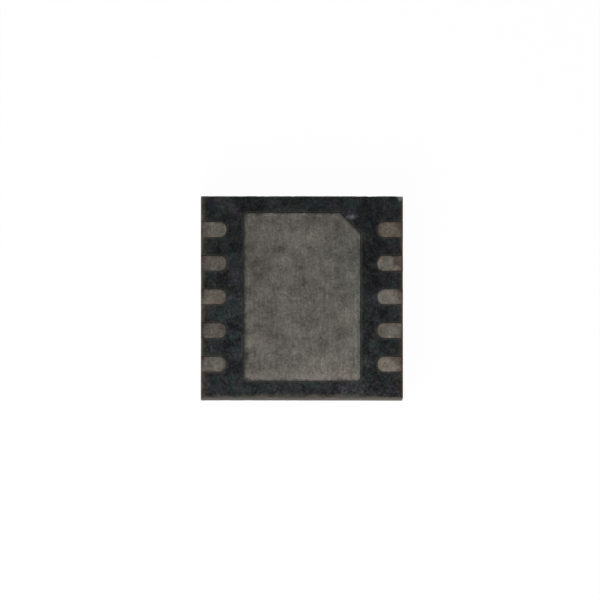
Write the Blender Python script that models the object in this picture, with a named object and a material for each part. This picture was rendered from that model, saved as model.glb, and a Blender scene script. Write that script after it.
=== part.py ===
"""Ten-lead dual flat no-lead integrated circuit, 3 mm square, lying on its marked face with its lands up.

Every piece is built as the package is assembled, lands down: z = 0 is the plane of the lands, the etched
copper frame lies on it, the chip is bonded to the frame's back, wires loop from the chip to the leads, and
the moulded block is cast round them all. The empty called package then turns the assembly on its back.
"""

import math

import bmesh
import bpy
from mathutils import Matrix, Quaternion, Vector

MM = 0.001  # metres in a millimetre
X_AXIS = Vector((1, 0, 0))
Z_AXIS = Vector((0, 0, 1))

# The moulded block, sawn on its four sides
BODY_X = 3.0 * MM  # across the two rows of leads
BODY_Y = 3.0 * MM  # along the rows
PACKAGE_HEIGHT = 0.75 * MM  # from the plane of the lands to the marked face
STANDOFF = 0.012 * MM  # the lands stand this far proud of the mould
EDGE_BREAK = 0.008 * MM  # worn edge of the sawn block
MARK_DIAMETER = 0.28 * MM  # shallow dot on the marked face beside the first lead
MARK_DEPTH = 0.012 * MM
MARK_INSET = 0.42 * MM  # centre of the dot from either side of its corner

# The etched copper frame
FRAME_THICKNESS = 0.203 * MM
LAND_THICKNESS = 0.103 * MM  # etched away from the front beside the lands; the rest is the ledge
ETCH_CUSP = 0.012 * MM  # the rim left at mid thickness where the etch from both faces meets
TIE_BAR_WIDTH = 0.2 * MM
TIE_BAR_SPACING = 0.9 * MM

# The leads and their lands
LEADS_PER_SIDE = 5
LEAD_PITCH = 0.5 * MM
LAND_WIDTH = 0.225 * MM
LAND_LENGTH = 0.38 * MM
LAND_END_RADIUS = 0.098 * MM
FINGER_FLARE = 0.024 * MM  # the bond finger is this much wider than its land, each side
FINGER_REACH = 0.07 * MM  # and goes this much further in
SAW_OVERRUN = 0.06 * MM  # frame metal beyond the saw's cut

# The large land under the chip
LAND_GAP = 0.252 * MM  # moulded strip between the small lands and the large one
PADDLE_END_MARGIN = 0.25 * MM  # from the large land to the ends of the block
PADDLE_CHAMFER = 0.297 * MM  # cut corner beside the first lead
PADDLE_CORNER_RADIUS = 0.045 * MM
LEDGE_WIDTH = 0.08 * MM  # half-etched rim that the mould grips

# The chip and its bond
CHIP_MARGIN_X = 0.22 * MM  # from the chip to the edge of the large land
CHIP_MARGIN_Y = 0.28 * MM
CHIP_THICKNESS = 0.2 * MM
BOND_LINE = 0.025 * MM  # epoxy under the chip
FILLET_SPREAD = 0.07 * MM  # epoxy squeezed out beside the chip
FILLET_CLIMB = 0.09 * MM
FILLET_RIM = 0.009 * MM  # thickness of the epoxy where it ends on the chip's side
OPENING_SIDE = 0.075 * MM  # windows in the chip's glass over its bond pads
OPENING_DEPTH = 0.002 * MM
OPENING_INSET = 0.075 * MM  # centre of a window from the chip's long side
OPENING_END_INSET = 0.165 * MM  # and of the last ones from its ends

# The bond wires
WIRE_DIAMETER = 0.025 * MM
BALL_DIAMETER = 0.06 * MM
BALL_HEIGHT = 0.018 * MM
NECK_LENGTH = 0.01 * MM
LOOP_HEIGHT = 0.13 * MM  # from the chip's face to the corner that the loop rounds
LOOP_BEND_RADIUS = 0.04 * MM
LANDING_RADIUS = 0.1 * MM
STITCH_SETBACK = 0.06 * MM  # from the finger's tip to where the wire touches down
STITCH_LENGTH = 0.05 * MM
STITCH_WIDTH = 0.044 * MM
STITCH_THICKNESS = 0.007 * MM
WIRE_SIDES = 10

CLEARANCE = 0.003 * MM  # kept between neighbouring pieces
CORNER_STEPS = 5  # facets in a quarter turn
SMOOTH_ANGLE = math.radians(40)  # facets that meet at less are shaded as one round face

# Worked out from the sizes above
PADDLE_X = BODY_X - 2 * (LAND_LENGTH + LAND_GAP)
PADDLE_Y = BODY_Y - 2 * PADDLE_END_MARGIN
CHIP_X = PADDLE_X - 2 * CHIP_MARGIN_X
CHIP_Y = PADDLE_Y - 2 * CHIP_MARGIN_Y
CHIP_BACK = FRAME_THICKNESS + BOND_LINE
CHIP_FACE = CHIP_BACK + CHIP_THICKNESS
OPENING_PITCH = (CHIP_Y - 2 * OPENING_END_INSET) / (LEADS_PER_SIDE - 1)
WIRE_RADIUS = WIRE_DIAMETER / 2


def clear_scene():
    for obj in list(bpy.data.objects):
        bpy.data.objects.remove(obj)


def new_material(name, colour, roughness, metallic):
    material = bpy.data.materials.new(name)
    material.use_nodes = True
    shader = material.node_tree.nodes["Principled BSDF"]
    shader.inputs["Base Color"].default_value = (*colour, 1.0)
    shader.inputs["Roughness"].default_value = roughness
    shader.inputs["Metallic"].default_value = metallic
    return material


def set_down(name, mesh, package, collection, at, turn):
    """An object turned about Z and set down in the package."""
    obj = bpy.data.objects.new(name, mesh)
    collection.objects.link(obj)
    obj.parent = package
    obj.location = at
    obj.rotation_mode = "QUATERNION"
    obj.rotation_quaternion = Quaternion(Z_AXIS, turn)
    return obj


def place(name, mesh, material, package, at=(0, 0, 0), turn=0.0):
    """One named piece of the package."""
    piece = set_down(name, mesh, package, bpy.context.scene.collection, at, turn)
    mesh.materials.clear()
    mesh.materials.append(material)
    return piece


def place_tool(name, mesh, package, tools, at=(0, 0, 0), turn=0.0):
    """A hidden shape that a Boolean joins to a piece or cuts out of it."""
    tool = set_down(name, mesh, package, tools, at, turn)
    tool.hide_render = True
    tool.display_type = "WIRE"
    return tool


def finish_mesh(name, bm, rounded=True):
    """A mesh of triangles, which stay flat when their corners are stored; round shapes are shaded smooth."""
    bmesh.ops.recalc_face_normals(bm, faces=bm.faces[:])
    bmesh.ops.triangulate(bm, faces=bm.faces[:])
    mesh = bpy.data.meshes.new(name)
    bm.to_mesh(mesh)
    bm.free()
    if rounded:
        mesh.shade_smooth()
        mesh.set_sharp_from_angle(angle=SMOOTH_ANGLE)
    return mesh


def loft(sections):
    """A closed shape through rings that have equally many points: a face extruded from each to the next."""
    bm = bmesh.new()
    foot = bm.faces.new([bm.verts.new(point) for point in sections[0]])
    end = foot
    for section in sections[1:]:
        grown = bmesh.ops.extrude_face_region(bm, geom=[end])
        if end is not foot:
            bm.faces.remove(end)
        end = next(part for part in grown["geom"] if isinstance(part, bmesh.types.BMFace))
        for corner, point in zip(end.verts, section):
            corner.co = point
    return bm


def block(size_x, size_y, bottom, top):
    """A rectangular block, centred in X and Y."""
    bm = bmesh.new()
    size = Matrix.Diagonal((size_x, size_y, top - bottom, 1))
    bmesh.ops.create_cube(bm, size=1.0, matrix=Matrix.Translation((0, 0, (top + bottom) / 2)) @ size)
    return bm


def arc(centre_x, centre_y, radius, start, sweep):
    """Points round a centre, from one angle on through a sweep."""
    steps = max(1, round(CORNER_STEPS * abs(sweep) / (math.pi / 2)))
    angles = [start + sweep * i / steps for i in range(steps + 1)]
    return [(centre_x + radius * math.cos(a), centre_y + radius * math.sin(a)) for a in angles]


def at_height(outline, z):
    return [(x, y, z) for x, y in outline]


def round_ended(length, width, radius, grow):
    """Outline of a lead seen from its face: x = 0 is the package's side, +X runs on past the saw's cut."""
    radius = min(radius, width / 2)
    inner = -length + radius
    offset = width / 2 - radius
    outer = SAW_OVERRUN + grow
    side = width / 2 + grow
    upper = arc(inner, offset, radius + grow, math.pi / 2, math.pi / 2)
    lower = arc(inner, -offset, radius + grow, math.pi, math.pi / 2)
    return [(outer, side)] + upper + lower + [(outer, -side)]


def cut_cornered(grow):
    """Outline of the large land: the corner beside the first lead, at -X +Y, is cut off, the rest rounded."""
    half_x = PADDLE_X / 2
    half_y = PADDLE_Y / 2
    radius = PADDLE_CORNER_RADIUS
    leg = PADDLE_CHAMFER + grow * (2 - math.sqrt(2))
    cut = [(-half_x - grow + leg, half_y + grow), (-half_x - grow, half_y + grow - leg)]
    lower_left = arc(-half_x + radius, -half_y + radius, radius + grow, math.pi, math.pi / 2)
    lower_right = arc(half_x - radius, -half_y + radius, radius + grow, -math.pi / 2, math.pi / 2)
    upper_right = arc(half_x - radius, half_y - radius, radius + grow, 0, math.pi / 2)
    return cut + lower_left + lower_right + upper_right


def rounded_rectangle(size_x, size_y, grow):
    """Outline of a rectangle grown outwards, round its corners."""
    outline = []
    for x, y, start in ((1, 1, 0.0), (-1, 1, math.pi / 2), (-1, -1, math.pi), (1, -1, 1.5 * math.pi)):
        outline += arc(x * size_x / 2, y * size_y / 2, grow, start, math.pi / 2)
    return outline


def etched_sections(outline, ledge_outline, room):
    """Rings of a piece of the frame from its land to its bond face, with room round it for its pocket."""
    front = -STANDOFF if room else 0.0
    return [
        at_height(outline(room), front),
        at_height(outline(ETCH_CUSP + room), LAND_THICKNESS - room),
        at_height(ledge_outline(ETCH_CUSP + room), LAND_THICKNESS - room),
        at_height(ledge_outline(room), FRAME_THICKNESS + room),
    ]


def lead_shape(room=0.0):
    """A land with its half-etched bond finger, still joined to the strip beyond the saw's cut."""
    finger_width = LAND_WIDTH + 2 * FINGER_FLARE
    finger_radius = LAND_END_RADIUS + FINGER_FLARE
    return loft(
        etched_sections(
            lambda grow: round_ended(LAND_LENGTH, LAND_WIDTH, LAND_END_RADIUS, grow),
            lambda grow: round_ended(LAND_LENGTH + FINGER_REACH, finger_width, finger_radius, grow),
            room,
        )
    )


def lead_mesh():
    """A lead sawn off flush with the package's side."""
    bm = lead_shape()
    cut = bmesh.ops.bisect_plane(
        bm,
        geom=bm.verts[:] + bm.edges[:] + bm.faces[:],
        dist=CLEARANCE / 1000,
        plane_co=(0, 0, 0),
        plane_no=X_AXIS,
        clear_outer=True,
    )
    sawn_edges = [part for part in cut["geom_cut"] if isinstance(part, bmesh.types.BMEdge)]
    bmesh.ops.contextual_create(bm, geom=sawn_edges)
    return finish_mesh("lead", bm)


def two_rows(x, pitch):
    """Number and place of each lead, or of what belongs to it, down the first row and back up the other."""
    first = pitch * (LEADS_PER_SIDE - 1) / 2
    for i in range(LEADS_PER_SIDE):
        yield i + 1, -x, first - i * pitch
    for i in range(LEADS_PER_SIDE):
        yield LEADS_PER_SIDE + i + 1, x, i * pitch - first


def tie_bar_shape(room=0.0):
    """A bar across the whole package, sawn off flush with both of its ends; its pocket runs on past them."""
    length = BODY_Y + (2 * SAW_OVERRUN if room else 0.0)
    return block(TIE_BAR_WIDTH + 2 * room, length, LAND_THICKNESS - room, FRAME_THICKNESS + room)


def paddle_shape(room=0.0):
    """The large land with its half-etched ledge."""
    return loft(etched_sections(cut_cornered, lambda grow: cut_cornered(LEDGE_WIDTH + grow), room))


def add_boolean(obj, operation, other):
    boolean = obj.modifiers.new(operation.title(), "BOOLEAN")
    boolean.operation = operation
    boolean.solver = "EXACT"
    if isinstance(other, bpy.types.Collection):
        boolean.operand_type = "COLLECTION"
        boolean.collection = other
    else:
        boolean.object = other
    return boolean


def build_paddle(package, material, pockets, helpers):
    """The die paddle: its land, its ledge and the tie bars that leave both its ends are one etched piece."""
    paddle = place("die_paddle", finish_mesh("die_paddle", paddle_shape()), material, package)
    place_tool("paddle_pocket", finish_mesh("paddle_pocket", paddle_shape(CLEARANCE)), package, pockets)
    bar = finish_mesh("tie_bar", tie_bar_shape(), rounded=False)
    bar_pocket = finish_mesh("tie_bar_pocket", tie_bar_shape(CLEARANCE), rounded=False)
    for number, side in ((1, -1), (2, 1)):
        at = (side * TIE_BAR_SPACING / 2, 0, 0)
        add_boolean(paddle, "UNION", place_tool(f"tie_bar_{number}", bar, package, helpers, at))
        place_tool(f"tie_bar_pocket_{number}", bar_pocket, package, pockets, at)


def build_leads(package, material, pockets):
    lead = lead_mesh()
    pocket = finish_mesh("lead_pocket", lead_shape(CLEARANCE))
    for number, x, y in two_rows(BODY_X / 2, LEAD_PITCH):
        turn = math.pi if x < 0 else 0.0
        place(f"lead_{number}", lead, material, package, (x, y, 0), turn)
        place_tool(f"lead_pocket_{number}", pocket, package, pockets, (x, y, 0), turn)


def build_die_attach(package, material, pockets):
    """Cured epoxy: a thin bond under the chip, with a hollow-sided fillet that climbs the chip's sides."""
    steps = 3
    foot = FRAME_THICKNESS + CLEARANCE
    sections = []
    pocket_foot = rounded_rectangle(CHIP_X, CHIP_Y, FILLET_SPREAD + CLEARANCE)
    pocket_sections = [at_height(pocket_foot, FRAME_THICKNESS)]
    for i in range(steps + 1):
        share = i / steps
        spread = FILLET_RIM + (FILLET_SPREAD - FILLET_RIM) * (1 - share) ** 2
        height = foot + FILLET_CLIMB * share
        sections.append(at_height(rounded_rectangle(CHIP_X, CHIP_Y, spread), height))
        grown = rounded_rectangle(CHIP_X, CHIP_Y, spread + CLEARANCE)
        pocket_sections.append(at_height(grown, height + CLEARANCE))
    seat_outline = rounded_rectangle(CHIP_X, CHIP_Y, CLEARANCE)
    seat = [at_height(seat_outline, z) for z in (height, CHIP_BACK - CLEARANCE)]
    place("die_attach", finish_mesh("die_attach", loft(sections + seat)), material, package)
    place_tool("die_attach_pocket", finish_mesh("die_attach_pocket", loft(pocket_sections)), package, pockets)


def build_chip(package, material, pockets, helpers):
    """The sawn silicon chip, with a window in its glass over each bond pad."""
    shape = block(CHIP_X, CHIP_Y, CHIP_BACK, CHIP_FACE)
    chip = place("silicon_die", finish_mesh("silicon_die", shape, rounded=False), material, package)
    pocket_top = CHIP_FACE + CLEARANCE
    grown = block(CHIP_X + 2 * CLEARANCE, CHIP_Y + 2 * CLEARANCE, CHIP_BACK - CLEARANCE, pocket_top)
    place_tool("chip_pocket", finish_mesh("chip_pocket", grown, rounded=False), package, pockets)
    opening = block(OPENING_SIDE, OPENING_SIDE, CHIP_FACE - OPENING_DEPTH, pocket_top)
    window = finish_mesh("window", opening, rounded=False)
    for number, x, y in two_rows(CHIP_X / 2 - OPENING_INSET, OPENING_PITCH):
        add_boolean(chip, "DIFFERENCE", place_tool(f"window_{number}", window, package, helpers, (x, y, 0)))


def rounded(before, corner, after, radius):
    """Points of the arc that rounds a corner between two straight runs, given as (along, up)."""
    before, corner, after = Vector(before), Vector(corner), Vector(after)
    back = (before - corner).normalized()
    on = (after - corner).normalized()
    half = back.angle(on) / 2
    leg = radius / math.tan(half)
    centre = corner + (back + on).normalized() * (radius / math.sin(half))
    start = corner + back * leg - centre
    sweep = math.pi - 2 * half
    turn = -sweep if back.cross(on) > 0 else sweep
    steps = max(2, round(CORNER_STEPS * sweep / (math.pi / 2)))
    points = []
    for i in range(steps + 1):
        angle = turn * i / steps
        cos, sin = math.cos(angle), math.sin(angle)
        points.append(centre + Vector((start.x * cos - start.y * sin, start.x * sin + start.y * cos)))
    return points


def wire_sections(span, room=0.0):
    """Rings of a bond wire from its ball to the tip of its stitch, in the upright plane along +X.

    The ball's foot is at the origin, on the chip's pad, and the stitch is pressed flat on the bond finger.
    """
    foot = -OPENING_DEPTH + CLEARANCE
    drop = CHIP_FACE - FRAME_THICKNESS - CLEARANCE
    ball = BALL_DIAMETER / 2
    sections = []

    def add(along, up, direction, half_width, half_thickness):
        across = Vector((-direction.y, direction.x))
        ring = []
        for i in range(WIRE_SIDES):
            angle = 2 * math.pi * (i + 0.5) / WIRE_SIDES
            width = (half_width + room) * math.cos(angle)
            lift = across * (half_thickness + room) * math.sin(angle)
            ring.append((along + lift.x, width, up + lift.y))
        sections.append(ring)

    upright = Vector((0, 1))
    for share, size, rise in ((0.0, 0.72, -room), (0.22, 1.0, 0.0), (0.7, 1.0, room), (1.0, 0.66, room)):
        add(0, foot + BALL_HEIGHT * share + rise, upright, ball * size, ball * size)
    add(0, foot + BALL_HEIGHT + NECK_LENGTH + room, upright, WIRE_RADIUS, WIRE_RADIUS)

    loop_corner = (0, LOOP_HEIGHT)
    landing = (span, -drop + WIRE_RADIUS)
    stitch_end = (span + STITCH_LENGTH, -drop + WIRE_RADIUS)
    path = rounded((0, 0), loop_corner, landing, LOOP_BEND_RADIUS) + rounded(
        loop_corner, landing, stitch_end, LANDING_RADIUS
    )
    ahead = path[1:] + [Vector(stitch_end)]
    behind = [Vector((0, 0))] + path[:-1]
    for point, before, after in zip(path, behind, ahead):
        direction = ((after - point).normalized() + (point - before).normalized()).normalized()
        add(point.x, point.y, direction, WIRE_RADIUS, WIRE_RADIUS)

    level = Vector((1, 0))
    stitch_start = path[-1].x
    for share, tip in ((0.45, 0.0), (1.0, room)):
        half_thickness = WIRE_RADIUS + (STITCH_THICKNESS / 2 - WIRE_RADIUS) * share
        half_width = WIRE_RADIUS + (STITCH_WIDTH / 2 - WIRE_RADIUS) * share
        along = stitch_start + (stitch_end[0] - stitch_start) * share + tip
        add(along, -drop + half_thickness, level, half_width, half_thickness)
    return sections


def build_wires(package, material, pockets):
    """A wire from each bond pad on the chip to the back of its lead's finger."""
    landing_x = BODY_X / 2 - LAND_LENGTH - FINGER_REACH + STITCH_SETBACK
    balls = two_rows(CHIP_X / 2 - OPENING_INSET, OPENING_PITCH)
    landings = two_rows(landing_x, LEAD_PITCH)
    for (number, x, y), (_, end_x, end_y) in zip(balls, landings):
        run = Vector((end_x - x, end_y - y))
        turn = math.atan2(run.y, run.x)
        at = (x, y, CHIP_FACE)
        name = f"wire_{number}"
        wire = finish_mesh(name, loft(wire_sections(run.length)))
        place(name, wire, material, package, at, turn)
        pocket = finish_mesh(f"{name}_pocket", loft(wire_sections(run.length, CLEARANCE)))
        place_tool(f"{name}_pocket", pocket, package, pockets, at, turn)


def build_mould(package, material, pockets, helpers):
    """The moulded block: broken edges, a dot beside the first lead and a pocket round every inner piece."""
    bm = block(BODY_X, BODY_Y, STANDOFF, PACKAGE_HEIGHT)
    bmesh.ops.bevel(
        bm, geom=bm.edges[:], offset=EDGE_BREAK, affect="EDGES", segments=1, profile=0.5, material=-1
    )
    mould = place("mould_body", finish_mesh("mould_body", bm, rounded=False), material, package)
    dot = bmesh.new()
    bmesh.ops.create_cone(
        dot,
        cap_ends=True,
        segments=8 * CORNER_STEPS,
        radius1=MARK_DIAMETER / 2 - MARK_DEPTH,
        radius2=MARK_DIAMETER / 2 + MARK_DEPTH,
        depth=2 * MARK_DEPTH,
    )
    at = (-BODY_X / 2 + MARK_INSET, BODY_Y / 2 - MARK_INSET, PACKAGE_HEIGHT)
    add_boolean(mould, "DIFFERENCE", place_tool("mark", finish_mesh("mark", dot), package, helpers, at))
    add_boolean(mould, "DIFFERENCE", pockets)


def turned_over():
    """The empty that carries the package, turned half round about Y so that it lies on its marked face."""
    package = bpy.data.objects.new("package", None)
    bpy.context.scene.collection.objects.link(package)
    package.rotation_mode = "QUATERNION"
    package.rotation_quaternion = (0, 0, 1, 0)
    package.location = PACKAGE_HEIGHT * Z_AXIS
    return package


def hidden_collection(name):
    collection = bpy.data.collections.new(name)
    bpy.context.scene.collection.children.link(collection)
    return collection


def main():
    clear_scene()
    package = turned_over()
    pockets = hidden_collection("pockets")
    helpers = hidden_collection("helpers")
    plated_copper = new_material("plated_copper", (0.115, 0.105, 0.093), 0.55, 0.85)
    mould_compound = new_material("mould_compound", (0.021, 0.023, 0.0235), 0.75, 0.0)
    silver_epoxy = new_material("silver_epoxy", (0.42, 0.41, 0.4), 0.5, 0.6)
    silicon = new_material("silicon", (0.09, 0.1, 0.12), 0.2, 0.4)
    gold = new_material("gold", (0.8, 0.56, 0.2), 0.25, 1.0)
    build_paddle(package, plated_copper, pockets, helpers)
    build_leads(package, plated_copper, pockets)
    build_die_attach(package, silver_epoxy, pockets)
    build_chip(package, silicon, pockets, helpers)
    build_wires(package, gold, pockets)
    build_mould(package, mould_compound, pockets, helpers)


main()
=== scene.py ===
"""Looks for the ten-lead flat chip package, lying on its marked face with its solder lands up.

The sawn mould body, the plated paddle and the ten plated lands are modelled again in finer detail
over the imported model. The chip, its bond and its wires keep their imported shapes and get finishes.
"""
import math

import bmesh
import bpy
from mathutils import Matrix, Vector, noise


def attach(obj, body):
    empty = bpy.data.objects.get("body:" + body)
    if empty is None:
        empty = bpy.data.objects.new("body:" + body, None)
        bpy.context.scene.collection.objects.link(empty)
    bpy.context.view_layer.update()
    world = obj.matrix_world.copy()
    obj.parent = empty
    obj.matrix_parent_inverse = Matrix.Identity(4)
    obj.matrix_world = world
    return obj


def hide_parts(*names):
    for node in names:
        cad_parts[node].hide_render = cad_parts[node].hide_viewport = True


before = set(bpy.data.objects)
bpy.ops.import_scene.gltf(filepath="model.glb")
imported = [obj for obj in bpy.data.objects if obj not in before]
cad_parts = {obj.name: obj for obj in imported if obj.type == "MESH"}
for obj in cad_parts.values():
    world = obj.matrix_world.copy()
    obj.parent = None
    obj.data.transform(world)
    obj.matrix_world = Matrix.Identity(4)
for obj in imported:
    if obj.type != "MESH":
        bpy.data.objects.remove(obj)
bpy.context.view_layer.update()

# Sizes in millimetres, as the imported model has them.
HALF_BODY = 1.5
HEIGHT = 0.75
MOULD_FACE = 0.738
EDGE_BREAK = 0.008
PADDLE_HALF_X = 0.868
PADDLE_HALF_Y = 1.25
PADDLE_CUT = 0.297
PADDLE_CUT_PLACE = (PADDLE_HALF_X + PADDLE_HALF_Y - PADDLE_CUT) * math.sqrt(0.5)
PADDLE_RADIUS = 0.045
LAND_INNER_END = 1.12
LAND_HALF_WIDTH = 0.1125
LAND_PITCH = 0.5
LAND_NUMBERS = range(1, 11)
# Millimetres in a metre, how close together points count as one, and how flat an edge dissolves.
TO_MM = 1000.0
JOIN = 0.0002
FLAT_ANGLE = 0.01
# The outlines that the finishes follow. A small land's runs on far past the body's side.
LAND_REACH = 0.5
LAND_BOX = (LAND_REACH, LAND_HALF_WIDTH, 1.0)
PADDLE_BOX = (PADDLE_HALF_X, PADDLE_HALF_Y, 1.0)

# The saw's traces: fine lines up the sides and a slower swell beneath them. Each wave's step from
# side to side, its start, how close it is up the side and along it, and its strength.
SAW_LINES = 27
SAW_RIPPLE = 0.0045
SAW_MEAN = 0.5
SAW_WAVES = ((7.1, 0.0, 61.0, 0.35, 0.9), (3.3, 11.0, 9.0, 1.3, 0.35))
WALL_COLUMNS = 80
# The crumbled edges: how far the upper and the lower ones break, the share of it in height, what
# breaks everywhere, and the coarse and the fine crumbs' closeness, start and strength.
EDGE_CRUMBLE = 0.009
LOWER_CRUMBLE = 0.004
CRUMBLE_SLOPE = 0.7
CRUMBLE_MEAN = 0.05
CRUMBS = ((9.0, 0.0, 0.9), (27.0, 5.0, 0.6))
# The faces' slow unevenness: depth, closeness of the waves and their mean.
FACE_DISH = (0.0016, 2.6, 0.4)
LAND_DISH = (0.0011, 5.0, 0.5)
# The knocked corner: the planes that flakes broke along, how deep each lies and how far it reaches.
CORNER_CHIP = ((1.0, 1.0, 0.9), (1.0, 0.35, 1.6), (0.3, 1.0, 2.0))
CORNER_CHIP_DEPTHS = (0.036, 0.03, 0.03)
CORNER_CHIP_REACH = 0.35
# The lands' rounded rims, and the grid that their faces are divided into.
LAND_ROUND = 0.006
LAND_GRID = 0.045
RIM_ANGLE = math.radians(50)
SMOOTH_ANGLE = math.radians(38)
# A small pit in the paddle: place, radius and depth.
PADDLE_PITS = ((0.024, 0.17, 0.05, 0.003),)

# From land 1 to land 10: how bright and how warm its plate came out of the bath, how far its outer
# end blushed, and how much further in, in millimetres, its inner end is clear of resin.
LAND_VALUES = {
    "brightness": (0.94, 1.22, 1.14, 1.04, 1.16, 0.93, 0.76, 0.93, 0.78, 1.06),
    "warmth": (0.95, 0.3, 0.3, 0.3, 0.6, 0.25, 0.45, 0.7, 0.55, 0.2),
    "blush": (0.5, 1.0, 0.5, 0.0, 0.8, 0.1, 0.3, 0.2, 0.3, 0.5),
    "clear": (-0.017, 0.01, -0.003, 0.004, -0.002, -0.022, -0.007, -0.007, 0.01, 0.02),
}

# Colours of the finishes, as linear red, green and blue.
MOULDED_BLACK = (0.0122, 0.0141, 0.0136, 1.0)
FILLER_GREY = (0.045, 0.049, 0.05, 1.0)
# The knocked corner's broken filler, brightened further as a painted highlight.
SCAR_GREY_AND_HIGHLIGHT = (0.205, 0.225, 0.265, 1.0)
SMEARED_PLATE = (0.046, 0.0443, 0.0405, 1.0)
SAWN_GREY = (0.07, 0.063, 0.055, 1.0)
SAWN_TAN = (0.096, 0.081, 0.065, 1.0)
CUT_FILLER = (0.14, 0.135, 0.125, 1.0)
# The painted highlight laid on the mould's rims.
PAINTED_HIGHLIGHT_TAN = (0.07, 0.061, 0.048)
WORN_EDGE = (0.085, 0.08, 0.074, 1.0)
PADDLE_TIN = (0.086, 0.08, 0.0715, 1.0)
LAND_TIN = (0.086, 0.082, 0.0725, 1.0)
CREPT_RESIN = (0.0128, 0.0138, 0.0133, 1.0)
BARE_COPPER = (0.22, 0.132, 0.092)
SMEARED_COPPER = (0.07, 0.064, 0.056, 1.0)
SILVER_EPOXY = (0.4, 0.39, 0.38)
SILVER_FLAKES = (0.68, 0.68, 0.66, 1.0)
SILICON = (0.085, 0.095, 0.115, 1.0)
GOLD = (0.82, 0.56, 0.2)
WHITE = (1.0, 1.0, 1.0, 1.0)
FLOOR_WHITE = (0.95, 0.95, 0.95, 1.0)
ROOM_WHITE = (0.98, 0.99, 1.0, 1.0)

# Factors on a finish's own colour, for red, green and blue, and those of its cool and warm stains.
BROWNER = (1.25, 1.04, 0.84, 1.0)
SPECK_BRIGHTER = (1.45, 1.45, 1.42, 1.0)
BAND_BRIGHTER = (1.32, 1.31, 1.3, 1.0)
LINE_BRIGHTER = (1.18, 1.34, 1.3, 1.0)
WARMER = (1.07, 0.975, 0.9, 1.0)
ROSIER = (0.98, 0.76, 0.7, 1.0)
BLUSHED = (0.68, 0.56, 0.59, 1.0)
MOULD_STAINS = {"cool": (0.74, 1.03, 1.0, 1.0), "warm": (1.12, 0.92, 1.16, 1.0)}
PLATE_STAINS = {"cool": (0.93, 1.0, 0.98, 1.0), "warm": (1.07, 0.97, 0.97, 1.0)}
FILM_STAINS = {"cool": (0.7, 1.05, 1.3, 1.0), "warm": (1.35, 0.95, 1.1, 1.0)}

# Soft changes over the part: the places, in millimetres, or the values between which each one
# happens and, where they aren't 0 and 1, what it changes from and to. Upward is +Y, and right +X.
SOLDER_SIDE = (0.6, 0.7)
# Painted shade on the cast face: lighter towards the lower side, darker towards the top and the right
# side, away from the lamp at the lower left.
MOULD_PAINTED_SHADE_UPWARD = (-HALF_BODY, HALF_BODY, 1.22, 0.86)
MOULD_PAINTED_SHADE_TO_RIGHT = (1.2, 1.35, 1.0, 0.86)
BROWN_SIDES = (1.36, 1.47)
# Where the painted highlight on the mould's rims fades in, and how its tone swings.
PAINTED_HIGHLIGHT_RIM = (HALF_BODY - 0.05, HALF_BODY + 0.012)
PAINTED_HIGHLIGHT_TONE = (0.35, 0.68, 0.75, 1.35)
SAWN_SIDE = (HALF_BODY - 0.012, HALF_BODY - 0.006)
SAWN_TO_RIGHT = (-0.6, 1.6)
SAWN_LOWER_SIDE = (-1.49, -1.46, 1.0, 0.25)
SAWN_TOWARDS_FACE = (0.1, MOULD_FACE, 1.26, 0.54)
FILLER_GLINT = (0.35, 0.65, 0.25, 0.9)
PAST_LAST_LAND = (LAND_PITCH * 2.4, LAND_PITCH * 2.5, 0.0, -1.0)
SMEAR_RIM = (-0.04, 0.02)
ON_MOULD = (MOULD_FACE - 0.01, MOULD_FACE - 0.004)
ON_LAND = (MOULD_FACE - 0.004, MOULD_FACE + 0.004)
CUT_END = (HALF_BODY - 0.009, HALF_BODY - 0.005)
CUT_END_RIM = (HEIGHT - 0.006, HEIGHT - 0.001, 0.85, 0.1)
TIE_BARS = (0.8, 1.2, 0.6, 0.0)
METAL_UNDER_RESIN = (0.2, 0.8, 0.85, 0.0)
BRIGHT_BAND = (-1.04, -0.86, 0.95, 0.0)
BRIGHT_LINE = (0.008, 0.034, 0.8, 0.0)
BRIGHT_LINE_UPWARD = (-0.2, 1.0, 1.0, 0.35)
RESIN_ON_CUT = (-0.03, 0.044, 1.0, 0.0)
ROSY_RIM = (0.01, 0.06, 1.0, 0.0)
ROSY_PATCHES = (0.5, 0.65)
LAND_OUTWARD = (1.2, 1.5)
BLUSH_EDGE = (1.85, 2.5)
LAND_END_SHADE = (HALF_BODY - 0.07, HALF_BODY, 1.0, 0.72)

# The Mix node's sockets for colours, and the kinds of sockets that take three or four numbers.
COLOUR_A = 6
COLOUR_B = 7
COLOUR_RESULT = 2
KINDS = {3: "NodeSocketVector", 4: "NodeSocketColor"}
# How far a tone swings, and the darkest that it may get.
TONE_SWING = 4.0
LEAST_TONE = 0.15


def carried_over(node):
    """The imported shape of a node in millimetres, its loose triangles joined into whole faces."""
    bm = bmesh.new()
    bm.from_mesh(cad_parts[node].data)
    bmesh.ops.scale(bm, vec=(TO_MM,) * 3, verts=bm.verts)
    bmesh.ops.remove_doubles(bm, verts=bm.verts, dist=JOIN)
    bmesh.ops.dissolve_limit(bm, angle_limit=FLAT_ANGLE, verts=bm.verts, edges=bm.edges)
    return bm


def split(bm, direction, places, belongs):
    """Divides the faces that belong along parallel planes, so that they can be shaped."""
    normal = Vector(direction)
    for place in places:
        faces = [face for face in bm.faces if belongs(face)]
        edges = dict.fromkeys(edge for face in faces for edge in face.edges)
        verts = dict.fromkeys(vert for face in faces for vert in face.verts)
        bmesh.ops.bisect_plane(
            bm,
            geom=faces + list(edges) + list(verts),
            plane_co=normal * place,
            plane_no=normal,
            dist=JOIN,
        )


def steps(low, high, count):
    """Evenly spaced places between two ends, without the ends."""
    return [low + (high - low) * (index + 1) / (count + 1) for index in range(count)]


def saw_depth(side, along, height):
    """How far a sawn side stands back from the outline: fine lines that run with the blade."""
    press = SAW_MEAN
    for step, start, upward, onward, strength in SAW_WAVES:
        place = Vector((side * step + start, height * upward, along * onward))
        press += strength * noise.noise(place)
    return SAW_RIPPLE * min(1.0, max(0.0, press))


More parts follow.
